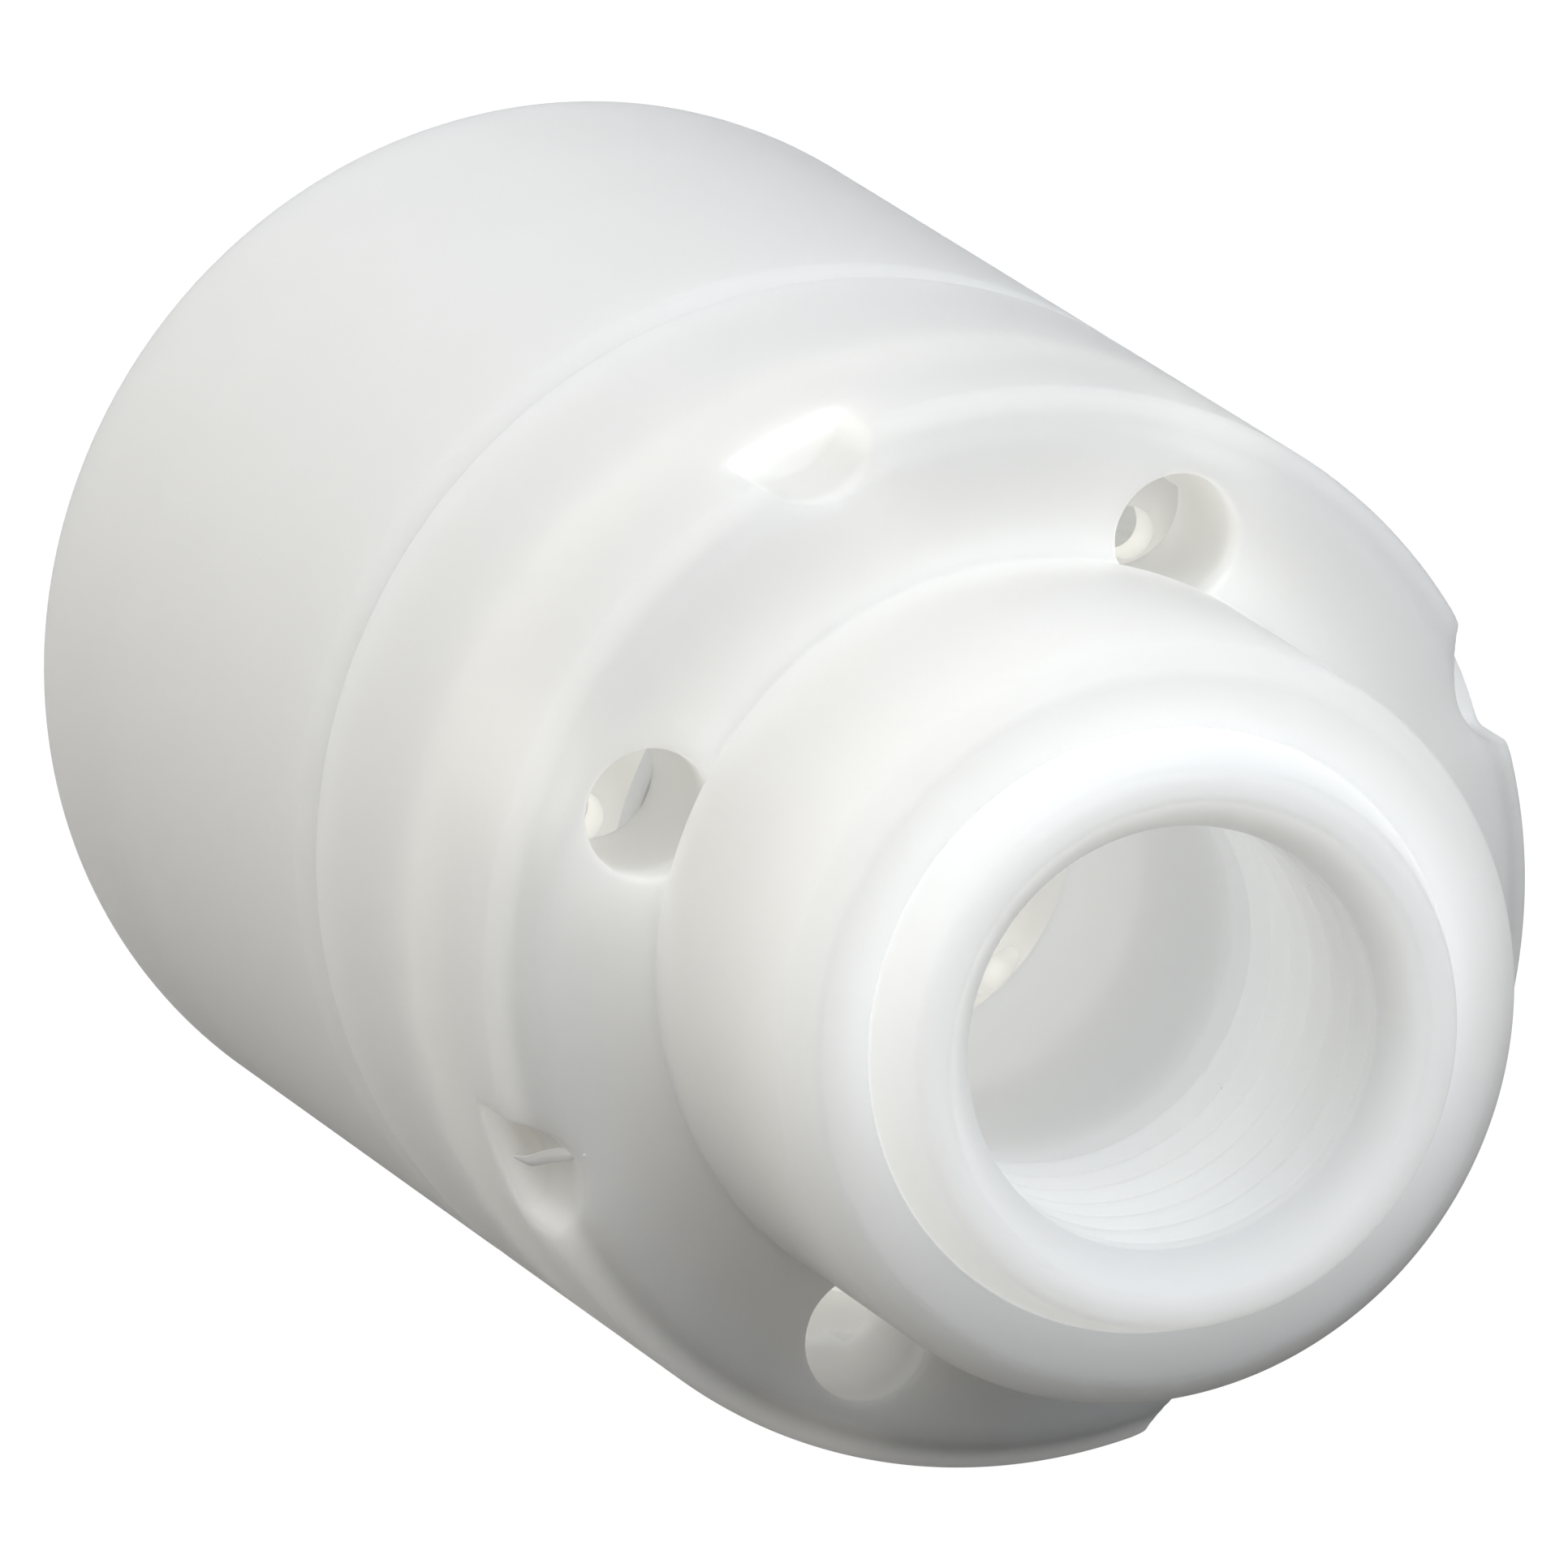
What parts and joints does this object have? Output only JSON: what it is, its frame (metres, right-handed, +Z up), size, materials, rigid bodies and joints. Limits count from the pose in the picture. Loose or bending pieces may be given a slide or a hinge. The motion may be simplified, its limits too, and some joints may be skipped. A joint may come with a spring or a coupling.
{
  "type": "pneumatic muffler",
  "caption": "White cylindrical pneumatic exhaust muffler with a tapped inlet hub, exhaust holes beside it, and a can that unscrews around a perforated diffuser and felt rings.",
  "frame": {"origin": "centre of the inlet port's mouth, where the tapped bore begins inside the bead", "axes": "+Y along the muffler's axis from the inlet to the closed end, +Z up, +X right as seen from the inlet end"},
  "size_m": [0.0286, 0.0475, 0.0286],
  "materials": {
    "housing": "turned white fluoropolymer, waxy and slightly translucent, fine lathe marks",
    "insert": "turned white fluoropolymer, waxy and slightly translucent",
    "gasket": "soft expanded fluoropolymer sheet, matt",
    "inner_plastic": "drilled white fluoropolymer, satin",
    "porous_filter": "sintered porous white plastic, granular",
    "mesh": "fine woven white monofilament mesh",
    "felt": "needled off-white felt, matt and fibrous",
    "seal": "dark fluoroelastomer O-ring, satin"
  },
  "bodies": {
    "port_head": {"front_cap": "housing", "inlet_insert": "insert", "insert_gasket": "gasket", "retainer_plate": "inner_plastic", "filter_ring": "porous_filter", "diffuser_tube": "inner_plastic", "mesh_sleeve": "mesh", "absorber_ring_1": "felt", "separator_1": "inner_plastic", "absorber_ring_2": "felt", "separator_2": "inner_plastic", "absorber_ring_3": "felt", "separator_3": "inner_plastic", "absorber_ring_4": "felt", "separator_4": "inner_plastic", "absorber_ring_5": "felt", "end_plug": "inner_plastic"},
    "seal_carrier": {"seal_ring": "seal"},
    "can": {"rear_can": "housing", "rear_pad": "felt"}
  },
  "joints": [
    {"name": "can_travel", "type": "slide", "parent": "port_head", "child": "seal_carrier", "axis": [0, 1, 0], "range_m": [0, 0.005]},
    {"name": "can_unscrew", "type": "hinge", "parent": "seal_carrier", "child": "can", "pos_m": [0, 0.0246, 0], "axis": [0, 1, 0], "range_deg": [0, 1200]}
  ],
  "couplings": [
    {"joint": "can_travel", "follows": "can_unscrew", "m_per_rad": 0.00023873}
  ]
}
